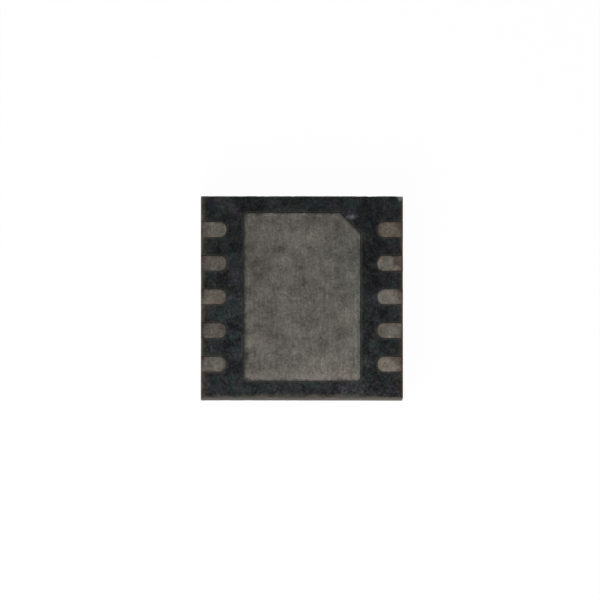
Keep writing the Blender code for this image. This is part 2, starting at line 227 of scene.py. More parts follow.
def saw(bm):
    """Presses the saw's lines into everything that ends on a side: mould, lands and tie bars."""
    for vert in bm.verts:
        for axis in (0, 1):
            if abs(vert.co[axis]) > HALF_BODY - JOIN:
                side = axis * 2 + (1 if vert.co[axis] > 0 else 0)
                depth = saw_depth(side, vert.co[1 - axis], vert.co.z)
                vert.co[axis] -= math.copysign(depth, vert.co[axis])


def crumble(bm):
    """Breaks the mould's long edges unevenly, as brittle filled epoxy leaves the blade."""
    margin = EDGE_BREAK * 1.5
    for vert in bm.verts:
        reach = max(abs(vert.co.x), abs(vert.co.y))
        top = vert.co.z > MOULD_FACE - margin
        bottom = vert.co.z < margin
        if reach < HALF_BODY - margin or not (top or bottom):
            continue
        bite = 0.0
        for closeness, start, strength in CRUMBS:
            place = vert.co * closeness + Vector((start,) * 3)
            bite += noise.noise(place) * strength
        depth = (EDGE_CRUMBLE if top else LOWER_CRUMBLE) * max(0.0, bite + CRUMBLE_MEAN)
        for axis in (0, 1):
            if abs(vert.co[axis]) > HALF_BODY - margin:
                vert.co[axis] -= math.copysign(depth, vert.co[axis])
        vert.co.z += -CRUMBLE_SLOPE * depth if top else CRUMBLE_SLOPE * depth


def chip_corner(bm):
    """Knocks small flakes off the body's top corner beside the cut corner of the paddle."""
    corner = Vector((HALF_BODY, HALF_BODY, MOULD_FACE))
    for direction, depth in zip(CORNER_CHIP, CORNER_CHIP_DEPTHS):
        normal = Vector(direction).normalized()
        near = [
            face
            for face in bm.faces
            if (face.calc_center_median() - corner).length < CORNER_CHIP_REACH
        ]
        edges = dict.fromkeys(edge for face in near for edge in face.edges)
        verts = dict.fromkeys(vert for face in near for vert in face.verts)
        bmesh.ops.bisect_plane(
            bm,
            geom=near + list(edges) + list(verts),
            plane_co=corner - normal * depth,
            plane_no=normal,
            dist=JOIN / 10,
            clear_outer=True,
        )
        bmesh.ops.holes_fill(bm, edges=[edge for edge in bm.edges if edge.is_boundary], sides=0)


def sunk(place, depth, closeness, mean):
    """How far a face sinks at a place, in slow uneven waves."""
    return depth * max(0.0, mean + noise.noise(place * closeness))


def finish_piece(bm, name, nodes, material, smooth):
    """Makes the piece an object, which rides with the body in place of its nodes."""
    bmesh.ops.scale(bm, vec=(1 / TO_MM,) * 3, verts=bm.verts)
    bmesh.ops.triangulate(bm, faces=[face for face in bm.faces if len(face.verts) > 4])
    for face in bm.faces:
        face.smooth = smooth
    mesh = bpy.data.meshes.new(name)
    bm.to_mesh(mesh)
    bm.free()
    if "custom_normal" in mesh.attributes:
        mesh.attributes.remove(mesh.attributes["custom_normal"])
    if smooth:
        mesh.set_sharp_from_angle(angle=SMOOTH_ANGLE)
    mesh.materials.clear()
    mesh.materials.append(material)
    piece = bpy.data.objects.new(name, mesh)
    bpy.context.scene.collection.objects.link(piece)
    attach(piece, "root")
    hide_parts(*nodes)
    return piece


def outside(face):
    """True for the faces of the body that can be seen."""
    middle = face.calc_center_median()
    at_side = max(abs(middle.x), abs(middle.y)) > HALF_BODY - EDGE_BREAK
    return at_side or middle.z > MOULD_FACE - EDGE_BREAK or middle.z < EDGE_BREAK


def at_side(face):
    """True for faces on the four sawn sides."""
    middle = face.calc_center_median()
    return max(abs(middle.x), abs(middle.y)) > HALF_BODY - JOIN


def make_body(material):
    """The moulded body: sawn sides, crumbled edges, a chipped corner and a slightly sunken face."""
    bm = carried_over("mould_body")
    split(bm, (1, 0, 0), steps(-HALF_BODY, HALF_BODY, WALL_COLUMNS), outside)
    split(bm, (0, 1, 0), steps(-HALF_BODY, HALF_BODY, WALL_COLUMNS), outside)
    split(bm, (0, 0, 1), steps(EDGE_BREAK, MOULD_FACE - EDGE_BREAK, SAW_LINES), at_side)
    saw(bm)
    crumble(bm)
    for vert in bm.verts:
        if vert.co.z > MOULD_FACE - JOIN:
            vert.co.z -= sunk(vert.co, *FACE_DISH)
    chip_corner(bm)
    return finish_piece(bm, "moulded_body", ["mould_body"], material, False)


def round_land(bm):
    """Softens the rim of a land, as etching and plating leave it."""
    rim = [
        edge
        for edge in bm.edges
        if all(vert.co.z > HEIGHT - JOIN for vert in edge.verts)
        and edge.is_manifold
        and edge.calc_face_angle(0.0) > RIM_ANGLE
    ]
    bmesh.ops.bevel(
        bm,
        geom=rim,
        offset=LAND_ROUND,
        offset_type="OFFSET",
        segments=3,
        profile=0.5,
        affect="EDGES",
        material=-1,
        clamp_overlap=True,
    )


def on_top(face):
    """True for a land's soldering face."""
    return face.calc_center_median().z > HEIGHT - JOIN and face.normal.z > 0.99


def even_grid(bm, belongs):
    """Divides the faces that belong into small squares."""
    for axis in (0, 1):
        places = [vert.co[axis] for face in bm.faces if belongs(face) for vert in face.verts]
        low, high = min(places), max(places)
        direction = [0, 0, 0]
        direction[axis] = 1
        split(bm, direction, steps(low, high, round((high - low) / LAND_GRID)), belongs)


def make_plated(name, node, material, hollows=()):
    """A plated piece of the leadframe: rounded rim, slightly uneven face and sawn ends."""
    bm = carried_over(node)
    round_land(bm)
    even_grid(bm, on_top)
    split(bm, (0, 0, 1), steps(EDGE_BREAK, MOULD_FACE - EDGE_BREAK, SAW_LINES), at_side)
    saw(bm)
    for vert in bm.verts:
        if vert.co.z > HEIGHT - JOIN:
            sink = sunk(vert.co, *LAND_DISH)
            for x, y, radius, depth in hollows:
                near = max(0.0, 1 - math.hypot(vert.co.x - x, vert.co.y - y) / radius)
                sink += depth * near
            vert.co.z -= sink
    return finish_piece(bm, name, [node], material, True)


def write_values(piece, name, value):
    """Keeps one number on all of a piece's points, for its finish to read."""
    kept = piece.data.attributes.new(name, "FLOAT", "POINT")
    kept.data.foreach_set("value", [value] * len(piece.data.vertices))


def feed(tree, socket, value):
    """Links a socket to another's value, or sets its own."""
    if isinstance(value, bpy.types.NodeSocket):
        tree.links.new(value, socket)
    else:
        socket.default_value = value


def put(tree, kind, sockets=None, **settings):
    """Adds a shader node with its settings and what its sockets are fed."""
    node = tree.nodes.new("ShaderNode" + kind)
    for name, value in settings.items():
        setattr(node, name, value)
    for name, value in (sockets or {}).items():
        feed(tree, node.inputs[name], value)
    return node


def reckon(tree, operation, *values):
    """One step of arithmetic."""
    node = put(tree, "Math", operation=operation)
    for socket, value in zip(node.inputs, values):
        feed(tree, socket, value)
    return node.outputs["Value"]


def times(tree, first, second):
    """One value multiplied by another."""
    return reckon(tree, "MULTIPLY", first, second)


def vector_step(tree, operation, *values, result="Vector"):
    """One step of arithmetic on places."""
    node = put(tree, "VectorMath", operation=operation)
    for socket, value in zip(node.inputs, values):
        feed(tree, socket, value)
    return node.outputs[result]


def axes(tree, place):
    """A place's X, Y and Z."""
    return put(tree, "SeparateXYZ", {"Vector": place}).outputs


def cloudy(tree, place, scale, detail, roughness=0.5):
    """Soft noise from 0 to 1."""
    sockets = {"Vector": place, "Scale": scale, "Detail": detail, "Roughness": roughness}
    return put(tree, "TexNoise", sockets).outputs[0]


def fade(tree, value, low, high, start=0.0, end=1.0):
    """Turns a value softly from start to end between two limits."""
    limits = {"Value": value, "From Min": low, "From Max": high, "To Min": start, "To Max": end}
    node = put(tree, "MapRange", limits, interpolation_type="SMOOTHSTEP", clamp=True)
    return node.outputs["Result"]


def lay_over(tree, amount, below, above, mode="MIX"):
    """One colour laid over another by an amount."""
    node = put(tree, "Mix", data_type="RGBA", blend_type=mode, clamp_factor=True)
    feed(tree, node.inputs[0], amount)
    feed(tree, node.inputs[COLOUR_A], below)
    feed(tree, node.inputs[COLOUR_B], above)
    return node.outputs[COLOUR_RESULT]


def tinted(tree, colour, factor):
    """A colour multiplied by a factor for each of red, green and blue."""
    return lay_over(tree, 1.0, colour, factor, "MULTIPLY")


def scaled(tree, colour, tone):
    """A colour made brighter or darker by a tone round 1."""
    node = put(tree, "VectorMath", operation="SCALE")
    feed(tree, node.inputs[0], colour)
    feed(tree, node.inputs["Scale"], tone)
    return node.outputs["Vector"]


def new_effect(name, inputs, outputs, kind="NodeSocketFloat"):
    """An empty shared effect: its place, its other inputs' usual values, and its outputs."""
    tree = bpy.data.node_groups.new(name, "ShaderNodeTree")
    tree.interface.new_socket("Place", in_out="INPUT", socket_type="NodeSocketVector")
    for socket_name, value in inputs.items():
        taken = "NodeSocketFloat" if isinstance(value, float) else KINDS[len(value)]
        socket = tree.interface.new_socket(socket_name, in_out="INPUT", socket_type=taken)
        socket.default_value = value
    for socket_name in outputs:
        tree.interface.new_socket(socket_name, in_out="OUTPUT", socket_type=kind)
    given = tree.nodes.new("NodeGroupInput").outputs
    result = tree.nodes.new("NodeGroupOutput").inputs
    return tree, given, result


def use_effect(tree, name, **sockets):
    """Places a shared effect in a material with its own values."""
    node = put(tree, "Group", node_tree=EFFECTS[name])
    for socket, value in sockets.items():
        feed(tree, node.inputs[socket.replace("_", " ").capitalize()], value)
    return node.outputs


def give_tone(tree, result, texture, depth):
    """An effect's height, and a tone that swings round 1 with it."""
    swing = times(tree, reckon(tree, "SUBTRACT", texture, 0.5), TONE_SWING)
    tone = reckon(tree, "MULTIPLY_ADD", swing, depth, 1.0)
    feed(tree, result["Tone"], reckon(tree, "MAXIMUM", tone, LEAST_TONE))
    feed(tree, result["Height"], texture)


def drawn_out(tree, given, sizes):
    """The given place, squeezed by the sizes named for X, Y and Z so that noise runs in lines."""
    each = {axis: reckon(tree, "DIVIDE", 1.0, given[size]) for axis, size in zip("XYZ", sizes)}
    shape = put(tree, "CombineXYZ", each).outputs[0]
    return vector_step(tree, "MULTIPLY", given["Place"], shape)


def make_mottle():
    """Cloudy patches: a tone round 1 and a height, both from patches of the given size."""
    inputs = {"Size": 0.3, "Fineness": 4.0, "Depth": 0.1}
    tree, given, result = new_effect("mottle", inputs, ("Tone", "Height"))
    scale = reckon(tree, "DIVIDE", 1.0, given["Size"])
    patches = cloudy(tree, given["Place"], scale, given["Fineness"], 1.0)
    give_tone(tree, result, patches, given["Depth"])
    return tree


def make_grain():
    """Fine grain of filler or plating crystals: a tone round 1, a height and sparse specks."""
    inputs = {"Size": 0.02, "Depth": 0.1, "Speck share": 0.1}
    tree, given, result = new_effect("grain", inputs, ("Tone", "Height", "Specks"))
    scale = reckon(tree, "DIVIDE", 1.0, given["Size"])
    crystals = cloudy(tree, given["Place"], scale, 1.5, 0.6)
    give_tone(tree, result, crystals, given["Depth"])
    cells = put(tree, "TexVoronoi", {"Vector": given["Place"], "Scale": scale})
    chosen = put(tree, "SeparateColor", {"Color": cells.outputs["Color"]}).outputs["Red"]
    chosen = reckon(tree, "LESS_THAN", chosen, given["Speck share"])
    middle = fade(tree, cells.outputs["Distance"], 0.15, 0.45, 1.0, 0.0)
    feed(tree, result["Specks"], times(tree, chosen, middle))
    return tree


def make_tint():
    """A stain that wanders between three colours, as a factor on the finish's own colour."""
    inputs = {"Size": 0.3, "Depth": 1.0, "Cool": WHITE, "Warm": WHITE}
    tree, given, result = new_effect("tint", inputs, ("Factor",), "NodeSocketColor")
    scale = reckon(tree, "DIVIDE", 1.0, given["Size"])
    stain = put(tree, "TexNoise", {"Vector": given["Place"], "Scale": scale, "Detail": 2.0})
    parts = put(tree, "SeparateColor", {"Color": stain.outputs["Color"]})
    cool = fade(tree, parts.outputs["Green"], 0.44, 0.66)
    warm = fade(tree, parts.outputs["Blue"], 0.44, 0.66)
    colour = lay_over(tree, times(tree, cool, given["Depth"]), WHITE, given["Cool"])
    colour = lay_over(tree, times(tree, warm, given["Depth"]), colour, given["Warm"])
    feed(tree, result["Factor"], colour)
    return tree


def make_streaks():
    """Long fine streaks along Y of the given place: a tone round 1 and a height."""
    inputs = {"Width": 0.03, "Length": 0.6, "Depth": 0.1}
    tree, given, result = new_effect("streaks", inputs, ("Tone", "Height"))
    place = drawn_out(tree, given, ("Width", "Length", "Width"))
    give_tone(tree, result, cloudy(tree, place, 1.0, 2.0), given["Depth"])
    return tree


def make_scratches():
    """Sparse hairline scratches along Y of the given place, as a mask."""
    inputs = {"Width": 0.008, "Length": 0.5, "Rarity": 0.7}
    tree, given, result = new_effect("scratches", inputs, ("Mask",))
    place = drawn_out(tree, given, ("Width", "Length", "Length"))
    upper = reckon(tree, "ADD", given["Rarity"], 0.06)
    hairs = fade(tree, cloudy(tree, place, 1.0, 0.0), given["Rarity"], upper)
    feed(tree, result["Mask"], hairs)
    return tree


# A mark reaches this far up and down, and this is how its ragged rim fades out.
MARK_HEIGHT = 10.0
MARK_RAGGED = 0.9
MARK_RIM = (0.75, 1.35, 1.0, 0.0)


def make_mark():
    """One ragged soft spot round the middle of the given place, as a mask."""
    inputs = {"Length": 0.1, "Width": 0.03}
    tree, given, result = new_effect("mark", inputs, ("Mask",))
    size = put(tree, "CombineXYZ", {"X": given["Length"], "Y": given["Width"], "Z": MARK_HEIGHT})
    shaped = vector_step(tree, "DIVIDE", given["Place"], size.outputs[0])
    reach = vector_step(tree, "LENGTH", shaped, result="Value")
    ragged = cloudy(tree, given["Place"], 45.0, 2.0)
    reach = reckon(tree, "MULTIPLY_ADD", ragged, MARK_RAGGED, reach)
    feed(tree, result["Mask"], fade(tree, reach, *MARK_RIM))
    return tree


def make_box_wear():
    """Rubbed edges of a box round the middle of the given place, as a mask."""
    inputs = {"Half size": (1.0, 1.0, 1.0), "Width": 0.02, "Patches": 0.12}
    tree, given, result = new_effect("edge_wear", inputs, ("Mask",))
    away = vector_step(tree, "ABSOLUTE", given["Place"])
    inside = vector_step(tree, "SUBTRACT", given["Half size"], away)
    parts = axes(tree, inside)
    x, y, z = [fade(tree, parts[axis], 0.0, given["Width"], 1.0, 0.0) for axis in "XYZ"]
    edge = reckon(tree, "MAXIMUM", times(tree, x, y), times(tree, x, z))
    edge = reckon(tree, "MAXIMUM", edge, times(tree, y, z))
    scale = reckon(tree, "DIVIDE", 1.0, given["Patches"])
    patches = cloudy(tree, given["Place"], scale, 3.0)
    feed(tree, result["Mask"], times(tree, edge, fade(tree, patches, 0.36, 0.62)))
    return tree


def make_outline():
    """How deep a place lies in a land's outline, and a ragged mask of resin crept over its rim."""
    inputs = {"Half size": (1.0, 1.0, 1.0), "Radius": 0.05, "Creep": 0.015, "Softness": 0.02}
    tree, given, result = new_effect("outline", inputs, ("Depth", "Resin"))
    away = vector_step(tree, "ABSOLUTE", given["Place"])
    corner = vector_step(tree, "SUBTRACT", away, given["Half size"])
    radius = put(tree, "CombineXYZ", {"X": given["Radius"], "Y": given["Radius"]}).outputs[0]
    corner = vector_step(tree, "ADD", corner, radius)
    flat = vector_step(tree, "MULTIPLY", corner, (1.0, 1.0, 0.0))
    past = vector_step(tree, "MAXIMUM", flat, (0.0, 0.0, 0.0))
    beyond = vector_step(tree, "LENGTH", past, result="Value")
    parts = axes(tree, flat)
    within = reckon(tree, "MINIMUM", reckon(tree, "MAXIMUM", parts["X"], parts["Y"]), 0.0)
    depth = reckon(tree, "SUBTRACT", given["Radius"], reckon(tree, "ADD", beyond, within))
    feed(tree, result["Depth"], depth)
    ragged = cloudy(tree, given["Place"], 14.0, 3.0)
    reach = times(tree, fade(tree, ragged, 0.3, 0.75), given["Creep"])
    shore = reckon(tree, "SUBTRACT", depth, reach)
    least = times(tree, given["Softness"], -1.0)
    feed(tree, result["Resin"], fade(tree, shore, least, given["Softness"], 1.0, 0.0))
    return tree


def new_material(name):
    """An empty material with its Principled shader, its places in millimetres and its tree."""
    material = bpy.data.materials.new(name)
    material.use_nodes = True
    tree = material.node_tree
    tree.nodes.clear()
    shader = put(tree, "BsdfPrincipled")
    output = put(tree, "OutputMaterial")
    tree.links.new(shader.outputs["BSDF"], output.inputs["Surface"])
    place = put(tree, "TexCoord").outputs["Object"]
    mapping = put(tree, "Mapping", {"Vector": place, "Scale": (TO_MM,) * 3})
    return material, tree, shader, mapping.outputs["Vector"]


def rolled(tree, place, about_x, about_z):
    """Places turned about X or Z, in degrees."""
    angles = (math.radians(about_x), 0.0, math.radians(about_z))
    return put(tree, "Mapping", {"Vector": place, "Rotation": angles}).outputs["Vector"]


def turned(tree, place, angle, middle=(0.0, 0.0, 0.0)):
    """Places counted from a middle and turned about Z by an angle in degrees."""
    return rolled(tree, vector_step(tree, "SUBTRACT", place, middle), 0.0, -angle)


def saw_lines(tree, place, depth):
    """The saw's lines, level round the sides."""
    level = rolled(tree, place, 90.0, 0.0)
    return use_effect(tree, "streaks", place=level, width=0.5, length=0.012, depth=depth)


def kept_value(tree, name):
    """A number that write_values keeps on each piece."""
    return put(tree, "Attribute", attribute_name=name).outputs["Fac"]


def dress(tree, shader, colour, rough, relief, depth, metallic=0.0, specular=0.5):
    """Sends a finish to its shader. Roughness follows a height; the relief's depth is in mm."""
    bump = put(tree, "Bump", {"Height": relief, "Distance": depth / TO_MM, "Strength": 1.0})
    feed(tree, shader.inputs["Base Color"], colour)
    feed(tree, shader.inputs["Metallic"], metallic)
    feed(tree, shader.inputs["Roughness"], reckon(tree, "MULTIPLY_ADD", *rough))
    feed(tree, shader.inputs["Specular IOR Level"], specular)
    feed(tree, shader.inputs["Normal"], bump.outputs["Normal"])


def one_mark(tree, place, x, y, length, width, angle, share):
    """The mask of one mark on the solder face, weakened to a share."""
    spot = turned(tree, place, angle, (x, y, MOULD_FACE))
    mask = use_effect(tree, "mark", place=spot, length=length, width=width)["Mask"]
    return times(tree, mask, share)


def put_marks(tree, place, colour, marks):
    """Lays single marks over a colour: dents, dull patches, bright nicks and painted shade and light.
    """
    for x, y, length, width, angle, tone, share in marks:
        mask = one_mark(tree, place, x, y, length, width, angle, share)
        colour = lay_over(tree, mask, colour, tinted(tree, colour, (*tone, 1.0)))
    return colour


# Single marks on the paddle: place, half length, half width, angle in degrees, factor on the colour
# and strength.
PADDLE_MARKS = (
    (0.024, 0.17, 0.05, 0.03, 0.0, (0.6, 0.58, 0.56), 0.9),
    (-0.676, 0.185, 0.04, 0.03, 20.0, (1.3, 1.3, 1.24), 0.8),
    (-0.23, 0.05, 0.11, 0.02, -48.0, (1.25, 1.27, 1.26), 0.8),
    (-0.14, -0.02, 0.05, 0.016, -40.0, (1.2, 1.22, 1.2), 0.8),
    (0.29, -0.99, 0.1, 0.018, 88.0, (1.22, 1.2, 1.18), 0.8),
    (0.45, -0.43, 0.09, 0.016, -60.0, (1.2, 1.2, 1.2), 0.7),
    (-0.78, -0.72, 0.12, 0.08, 10.0, (1.08, 1.18, 1.14), 0.8),
    (0.62, -1.09, 0.2, 0.1, 0.0, (1.2, 1.1, 1.08), 0.7),
    (-0.3, 1.21, 0.05, 0.03, 0.0, (1.25, 1.25, 1.22), 0.7),
    (0.1, -0.93, 0.06, 0.04, 40.0, (1.18, 1.18, 1.12), 0.7),
    (-0.67, 0.52, 0.32, 0.8, 0.0, (0.86, 0.85, 0.84), 0.9),
    (-0.44, -0.34, 0.35, 0.5, 0.0, (0.82, 0.82, 0.83), 0.9),
    (0.42, -0.34, 0.3, 0.4, 0.0, (1.14, 1.15, 1.14), 0.8),
    (0.42, -1.06, 0.9, 0.3, 0.0, (1.16, 1.15, 1.15), 0.9),
    (0.62, 0.5, 0.4, 0.9, 0.0, (0.96, 1.01, 1.0), 0.9),
    (0.66, 1.08, 0.3, 0.34, 0.0, (0.88, 0.88, 0.87), 0.9),
    (-0.1, 0.885, 1.5, 0.14, 0.0, (1.11, 1.11, 1.11), 0.9),
)
# Where resin crept further over the paddle's rim, in the same way but without a colour.
RESIN_SPOTS = (
    (-0.85, -0.878, 0.11, 0.14, 0.0, 0.85),
    (-0.875, -1.265, 0.15, 0.09, 0.0, 0.85),
    (-0.88, 1.265, 0.1, 0.09, 0.0, 0.85),
    (-0.88, -1.08, 0.07, 0.28, 0.0, 0.85),
    (-0.88, -0.5, 0.05, 0.3, 0.0, 0.85),
)
# The bright scar of the knocked corner, its broken filler paler and partly a painted highlight,
# in that way too, and single marks on the mould.
CORNER_SCAR_AND_HIGHLIGHT = (1.485, 1.49, 0.115, 0.095, -45.0, 0.85)
# The broad patches among the mould's marks, darker at the upper right and the right side and lighter
# at the lower right and the left, are painted shade and painted light; the small ones are scuffs and
# spots.
MOULD_MARKS_AND_PAINTED_LIGHT = (
    (0.733, 1.188, 0.15, 0.05, 8.0, (4.6, 4.2, 4.4), 0.95),
    (0.42, 1.36, 0.05, 0.03, 30.0, (1.5, 1.45, 1.7), 0.7),
    (-0.6, 1.33, 0.12, 0.08, 80.0, (1.25, 1.25, 1.6), 0.6),
    (0.25, 1.37, 0.13, 0.07, 10.0, (1.2, 1.25, 1.6), 0.6),
    (1.2, 0.76, 0.12, 0.09, 0.0, (0.6, 0.6, 0.7), 0.7),
    (-1.25, -0.75, 0.12, 0.08, 0.0, (0.8, 0.75, 1.2), 0.7),
    (-1.3, 0.76, 0.12, 0.08, 0.0, (0.75, 0.7, 0.85), 0.7),
    (-1.1, -1.37, 0.8, 0.2, 0.0, (0.7, 0.7, 0.7), 0.8),
    (0.95, -1.37, 0.9, 0.22, 0.0, (1.5, 1.48, 1.46), 0.8),
    (1.0, 1.0, 0.35, 0.6, 0.0, (0.86, 0.86, 0.86), 0.8),
    (-0.92, 1.37, 0.5, 0.25, 0.0, (1.3, 1.28, 1.28), 0.8),
    (-1.0, -0.35, 0.3, 0.9, 0.0, (1.2, 1.3, 1.28), 0.8),
    (1.32, -0.75, 0.25, 0.3, 0.0, (0.76, 0.76, 0.76), 0.8),
)
# How far the resin on the paddle and the plate smeared beside it sit towards +X.
PADDLE_CREEP_SIDE = 0.022
PADDLE_SMEAR_SIDE = 0.006
# The painted highlight on the rims, standing in for rounded edges lit from the lower left: how
# steeply each fades inwards, where it lies, how the lower one bows, and how far chips and clouds move
# them.
HIGHLIGHT_SLOPE = 0.6
HIGHLIGHT_SLOPE_RIGHT = 0.33
HIGHLIGHT_LEFT = 0.584
HIGHLIGHT_LOWER = 0.5815
HIGHLIGHT_RIGHT = 0.97
HIGHLIGHT_BOW = -0.012
HIGHLIGHT_CHIPS = 0.015
HIGHLIGHT_CLOUDS = 0.03
# The bright line down the paddle's right side.
BRIGHT_LINE_X = 0.815


def land_place(tree, place):
    """Places counted from the middle of the nearest small land, outward along its length."""
    own = axes(tree, place)
    along = reckon(tree, "ABSOLUTE", own["X"])
    centred = reckon(tree, "SUBTRACT", along, LAND_INNER_END + LAND_REACH)
    across = reckon(tree, "WRAP", own["Y"], LAND_PITCH / 2, -LAND_PITCH / 2)
    return put(tree, "CombineXYZ", {"X": centred, "Y": across, "Z": own["Z"]}).outputs[0]


def cut_depth(tree, place):
    """How deep a place lies inside the paddle's cut corner."""
    diagonal = (math.sqrt(0.5), math.sqrt(0.5), 0.0)
    slope = vector_step(tree, "DOT_PRODUCT", place, diagonal, result="Value")
    return reckon(tree, "SUBTRACT", PADDLE_CUT_PLACE, slope)


def land_glow(tree, place):
    """Where the mould next to the paddle and the lands has a smear of their plating on it."""
    small = use_effect(
        tree,
        "outline",
        place=land_place(tree, place),
        half_size=LAND_BOX,
        radius=LAND_HALF_WIDTH,
    )["Depth"]
    own = axes(tree, vector_step(tree, "ABSOLUTE", place))
    small = reckon(tree, "ADD", small, fade(tree, own["Y"], *PAST_LAST_LAND))
    large = use_effect(
        tree,
        "outline",
        place=vector_step(tree, "SUBTRACT", place, (PADDLE_SMEAR_SIDE, 0.0, 0.0)),
        half_size=PADDLE_BOX,
        radius=PADDLE_RADIUS,
    )["Depth"]
    large = reckon(tree, "MINIMUM", large, cut_depth(tree, place))
    near = reckon(tree, "MAXIMUM", small, large)
    return times(tree, fade(tree, near, *SMEAR_RIM), fade(tree, own["Z"], *ON_MOULD))


def moulded_colour(tree, place, own, grain, clouds):
    """The cast face: black, mottled in tint and tone, with painted shade darker upward and to the
    right, its marks with painted light and shade, and a smear off the lands.
    """
    tint = use_effect(tree, "tint", place=place, size=0.2, depth=1.0, **MOULD_STAINS)
    colour = tinted(tree, MOULDED_BLACK, tint["Factor"])
    colour = scaled(tree, scaled(tree, colour, grain["Tone"]), clouds["Tone"])
    # Painted shade: lighter low down, darker upward and towards the right side.
    colour = scaled(tree, colour, fade(tree, own["Y"], *MOULD_PAINTED_SHADE_UPWARD))
    colour = scaled(tree, colour, fade(tree, own["X"], *MOULD_PAINTED_SHADE_TO_RIGHT))
    colour = lay_over(tree, times(tree, grain["Specks"], 0.3), colour, FILLER_GREY)
    solder_side = fade(tree, own["Z"], *SOLDER_SIDE)
    marked = put_marks(tree, place, colour, MOULD_MARKS_AND_PAINTED_LIGHT)
    colour = lay_over(tree, solder_side, colour, marked)
    # The corner scar: paler broken filler with a painted highlight on it.
    scar_and_highlight = times(tree, one_mark(tree, place, *CORNER_SCAR_AND_HIGHLIGHT), solder_side)
    colour = lay_over(tree, scar_and_highlight, colour, SCAR_GREY_AND_HIGHLIGHT)
    return lay_over(tree, land_glow(tree, place), colour, SMEARED_PLATE)


def painted_rim_highlights(tree, own, chips, clouds):
    """Where the rims over the left, the lower and the right side get a painted highlight, as a mask.
    """
    left = reckon(tree, "MULTIPLY_ADD", own["X"], -HIGHLIGHT_SLOPE, HIGHLIGHT_LEFT)
    bow = times(tree, times(tree, own["X"], own["X"]), HIGHLIGHT_BOW)
    lower = reckon(tree, "MULTIPLY_ADD", own["Y"], -HIGHLIGHT_SLOPE, HIGHLIGHT_LOWER)
    lower = reckon(tree, "ADD", lower, reckon(tree, "MULTIPLY_ADD", chips, HIGHLIGHT_CHIPS, bow))
    right = reckon(tree, "MULTIPLY_ADD", own["X"], HIGHLIGHT_SLOPE_RIGHT, HIGHLIGHT_RIGHT)
    rim_highlight = reckon(tree, "MAXIMUM", reckon(tree, "MAXIMUM", left, lower), right)
    rim_highlight = reckon(tree, "MULTIPLY_ADD", clouds["Height"], HIGHLIGHT_CLOUDS, rim_highlight)
    return times(tree, fade(tree, rim_highlight, *PAINTED_HIGHLIGHT_RIM), 0.9)


def sawn_colour(tree, place, own, clouds, lines):
    """The sawn sides: darker towards the solder face, with the saw's lines and cut filler."""
    filler = use_effect(tree, "grain", place=place, size=0.017, depth=0.3, speck_share=0.26)
    beside = fade(tree, own["X"], *SAWN_TO_RIGHT)
    below = fade(tree, own["Y"], *SAWN_LOWER_SIDE)
    colour = lay_over(tree, times(tree, beside, below), SAWN_GREY, SAWN_TAN)
    colour = scaled(tree, colour, fade(tree, own["Z"], *SAWN_TOWARDS_FACE))
    colour = scaled(tree, scaled(tree, colour, lines["Tone"]), filler["Tone"])
    glint = times(tree, filler["Specks"], fade(tree, clouds["Height"], *FILLER_GLINT))
    return lay_over(tree, glint, colour, CUT_FILLER)


def make_mould_material():
    """Black filled epoxy: finely grained and mottled, greyer where it is sawn, with painted shade and
    highlights.
    """
    material, tree, shader, place = new_material("mould_compound_finish")
    grain = use_effect(tree, "grain", place=place, size=0.03, depth=0.6, speck_share=0.06)
    clouds = use_effect(tree, "mottle", place=place, size=0.4, fineness=5.0, depth=2.05)
    lines = saw_lines(tree, place, 0.2)
    chips = cloudy(tree, place, 9.0, 2.0)
    own = axes(tree, place)
    away = axes(tree, vector_step(tree, "ABSOLUTE", place))
    colour = moulded_colour(tree, place, own, grain, clouds)
    brown = fade(tree, away["X"], *BROWN_SIDES)
    colour = lay_over(tree, brown, colour, tinted(tree, colour, BROWNER))
    # Painted highlight on the left, lower and right rims, weakest on the right, as if lit from the
    # lower left.
    rim_highlight = scaled(tree, PAINTED_HIGHLIGHT_TAN, fade(tree, chips, *PAINTED_HIGHLIGHT_TONE))
    colour = lay_over(tree, painted_rim_highlights(tree, own, chips, clouds), colour, rim_highlight)
    reach = reckon(tree, "MAXIMUM", away["X"], away["Y"])
    sawn = fade(tree, reach, *SAWN_SIDE)
    colour = lay_over(tree, sawn, colour, sawn_colour(tree, place, own, clouds, lines))
    centred = vector_step(tree, "SUBTRACT", place, (0.0, 0.0, MOULD_FACE / 2))
    half = (HALF_BODY, HALF_BODY, MOULD_FACE / 2)
    worn = use_effect(
        tree, "edge_wear", place=centred, half_size=half, width=0.03, patches=0.1
    )
    colour = lay_over(tree, times(tree, worn["Mask"], 0.55), colour, WORN_EDGE)
    relief = reckon(tree, "ADD", grain["Height"], times(tree, lines["Height"], sawn))
    rough = (grain["Height"], 0.2, 0.62)
    dress(tree, shader, colour, rough, relief, 0.0022, specular=0.09)
    return material


# Hairline scratches in the plate: angle, rarity and length.
HAIRS = ((12.0, 0.77, 0.3), (-38.0, 0.8, 0.3), (1.0, 0.72, 0.1))


